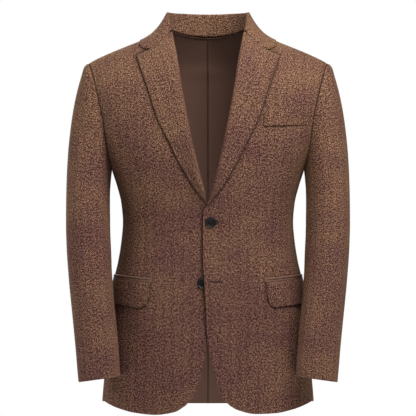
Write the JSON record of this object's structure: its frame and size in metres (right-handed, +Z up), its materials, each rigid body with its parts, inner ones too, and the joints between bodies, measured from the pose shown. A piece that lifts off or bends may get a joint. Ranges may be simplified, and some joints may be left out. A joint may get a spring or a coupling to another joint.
{
  "type": "herringbone suit jacket",
  "caption": "Hollow tailored jacket in its worn form, with notch lapels, a buttoned front, flapped hip pockets, a breast welt and set-in sleeves.",
  "frame": {"origin": "between the shoulders, at the middle of the shoulder line, where the wearer carries the jacket", "axes": "+Z up along the body, -Y out of the jacket's front, +X to the wearer's left"},
  "size_m": [0.553, 0.2835, 0.7833],
  "materials": {
    "cloth": "woven wool herringbone in brown and tan, soft and matt",
    "button": "near-black, smooth, slightly glossy"
  },
  "bodies": {
    "root": {"back_left": "cloth", "back_right": "cloth", "collar": "cloth", "flap_left": "cloth", "flap_right": "cloth", "front_left": "cloth", "front_right": "cloth", "jet_left": "cloth", "jet_right": "cloth", "lapel_left": "cloth", "lapel_right": "cloth", "side_left": "cloth", "side_right": "cloth", "sleeve_top_left": "cloth", "sleeve_top_right": "cloth", "sleeve_under_left": "cloth", "sleeve_under_right": "cloth", "breast_welt": "cloth", "button_upper": "button", "button_lower": "button"}
  },
  "joints": []
}
